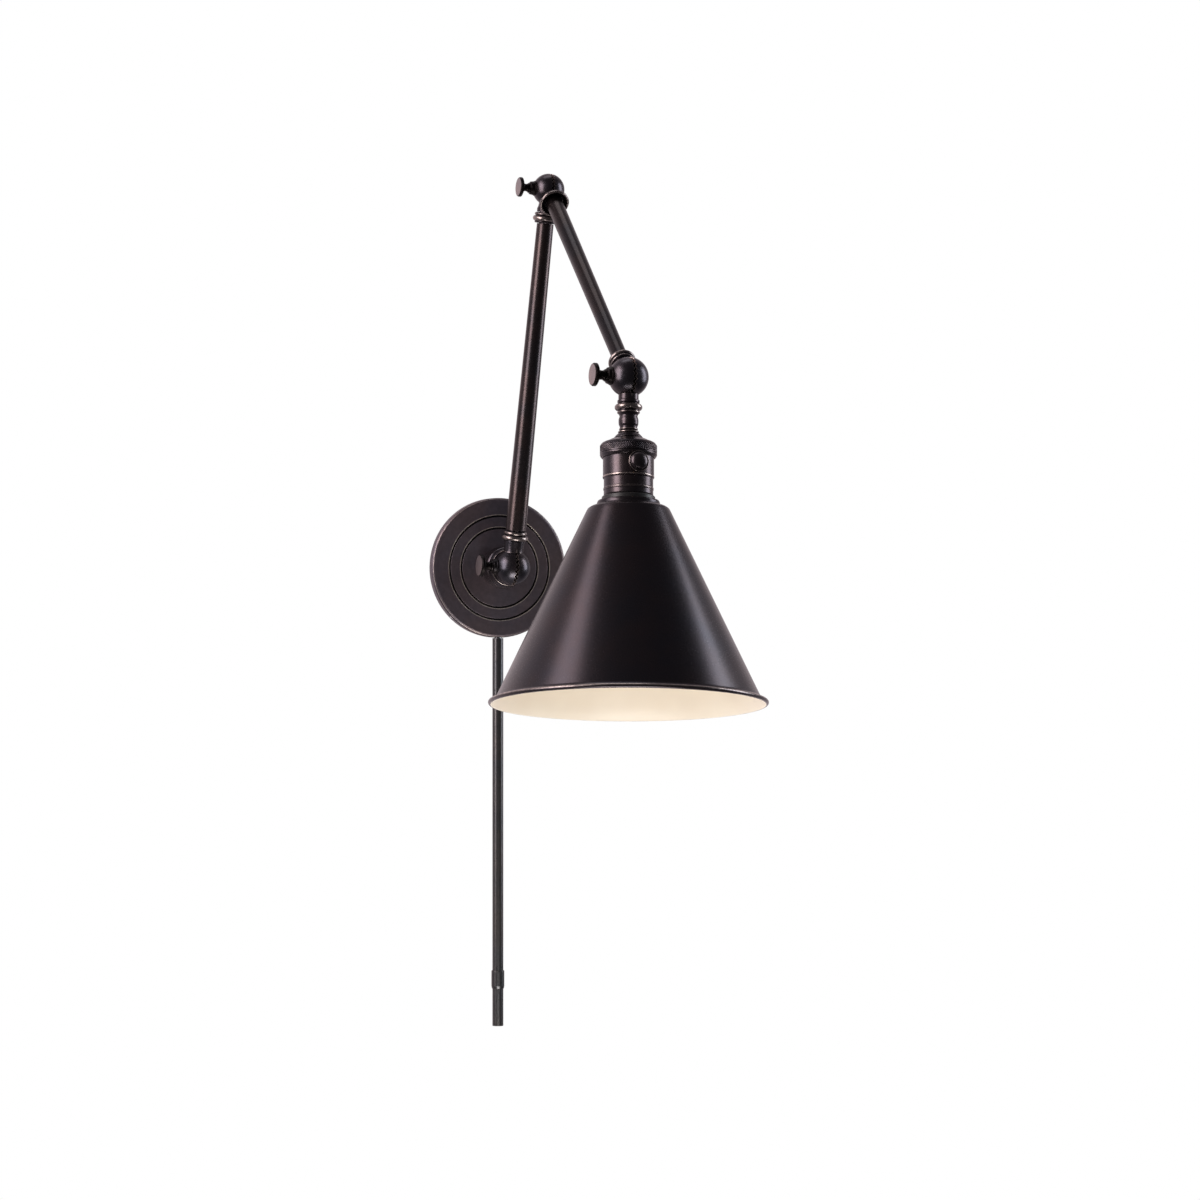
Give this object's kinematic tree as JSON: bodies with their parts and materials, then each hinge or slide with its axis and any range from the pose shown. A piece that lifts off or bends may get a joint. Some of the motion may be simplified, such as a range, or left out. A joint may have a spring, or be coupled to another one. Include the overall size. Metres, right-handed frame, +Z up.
{
  "type": "swing arm wall sconce",
  "caption": "Wall light with a round stepped backplate, jointed double arm on toothed split balls with thumb screws, cone shade on a turn-switch socket, and a rigid cord cover.",
  "frame": {"origin": "centre of the backplate's round outline, in the plane of the wall", "axes": "+Y into the wall, -Y towards the room, +Z up, +X to the right as seen from the room"},
  "size_m": [0.2169, 0.4575, 0.7267],
  "materials": {
    "bronze": "oil-rubbed bronze, satin, worn to copper along edges",
    "dark_bronze": "blackened bronze, satin",
    "worn_bronze": "rubbed bronze, smooth",
    "zinc_steel": "zinc plated",
    "brass": "plain brass",
    "black_moulding": "black phenolic",
    "fibre": "vulcanised fibre",
    "cover_bronze": "dark bronze, satin",
    "shade_bronze": "oil-rubbed bronze outside, warm white enamel inside",
    "lead_sheath": "matt"
  },
  "bodies": {
    "wall_bracket": {"backplate": "bronze", "mounting_crossbar": "zinc_steel", "canopy_set_screw_upper": "zinc_steel", "canopy_set_screw_lower": "zinc_steel", "fibre_washer": "fibre", "cord_cover_nipple": "zinc_steel", "cord_cover_upper_tube": "cover_bronze", "cord_cover_coupler": "cover_bronze", "cord_cover_lower_tube": "cover_bronze"},
    "post": {"post_cup": "bronze", "post_nipple": "zinc_steel", "post_washer": "zinc_steel", "post_hex_nut": "zinc_steel", "wall_ball_fixed_half": "bronze"},
    "lower_arm": {"wall_ball_arm_half": "bronze", "lower_arm_bottom_collar": "bronze", "lower_arm_tube": "bronze", "lower_arm_top_collar": "bronze", "elbow_ball_lower_half": "bronze", "lower_arm_lead": "lead_sheath", "wall_clamp_ferrule": "dark_bronze", "elbow_clamp_ferrule": "dark_bronze"},
    "upper_arm": {"elbow_ball_upper_half": "bronze", "upper_arm_elbow_collar": "bronze", "upper_arm_tube": "bronze", "upper_arm_knuckle_collar": "bronze", "knuckle_ball_arm_half": "bronze", "upper_arm_lead": "lead_sheath", "knuckle_clamp_ferrule": "dark_bronze"},
    "head": {"knuckle_ball_head_half": "bronze", "head_nipple": "zinc_steel", "turned_neck": "bronze", "socket_cap": "bronze", "socket_shell": "bronze", "socket_liner": "fibre", "lamp_holder": "black_moulding", "lamp_screw_shell": "brass", "lamp_centre_contact": "brass", "shade_ring_nut": "black_moulding", "shade": "shade_bronze"},
    "switch": {"switch_shaft": "brass", "switch_knob": "bronze"},
    "wall_clamp": {"wall_clamp_screw": "worn_bronze"},
    "elbow_clamp": {"elbow_clamp_screw": "worn_bronze"},
    "knuckle_clamp": {"knuckle_clamp_screw": "worn_bronze"}
  },
  "joints": [
    {"name": "post_swivel", "type": "hinge", "parent": "wall_bracket", "child": "post", "pos_m": [0, -0.02, 0], "axis": [0, 1, 0], "range_deg": [-93, 87]},
    {"name": "lower_arm_tilt", "type": "hinge", "parent": "post", "child": "lower_arm", "pos_m": [0, -0.0442, 0], "axis": [0.9986, 0, -0.0523], "range_deg": [-5, 61]},
    {"name": "elbow_tilt", "type": "hinge", "parent": "lower_arm", "child": "upper_arm", "pos_m": [0.01666, -0.09207, 0.31799], "axis": [0.9986, 0, -0.0523], "range_deg": [-119, 2.5]},
    {"name": "shade_tilt", "type": "hinge", "parent": "upper_arm", "child": "head", "pos_m": [0.0077, -0.31361, 0.14699], "axis": [0.9986, 0, -0.0523], "range_deg": [-123, 40.5]},
    {"name": "wall_clamp_turn", "type": "hinge", "parent": "lower_arm", "child": "wall_clamp", "pos_m": [0, -0.0442, 0], "axis": [-0.9986, 0, 0.0523], "range_deg": [0, 720]},
    {"name": "elbow_clamp_turn", "type": "hinge", "parent": "lower_arm", "child": "elbow_clamp", "pos_m": [0.01666, -0.09207, 0.31799], "axis": [-0.9986, 0, 0.0523], "range_deg": [0, 720]},
    {"name": "knuckle_clamp_turn", "type": "hinge", "parent": "upper_arm", "child": "knuckle_clamp", "pos_m": [0.0077, -0.31361, 0.14699], "axis": [-0.9986, 0, 0.0523], "range_deg": [0, 720]},
    {"name": "switch_turn", "type": "hinge", "parent": "head", "child": "switch", "pos_m": [0.00402, -0.32366, 0.0768], "axis": [0.0074, -0.9899, 0.1412], "continuous": true}
  ]
}
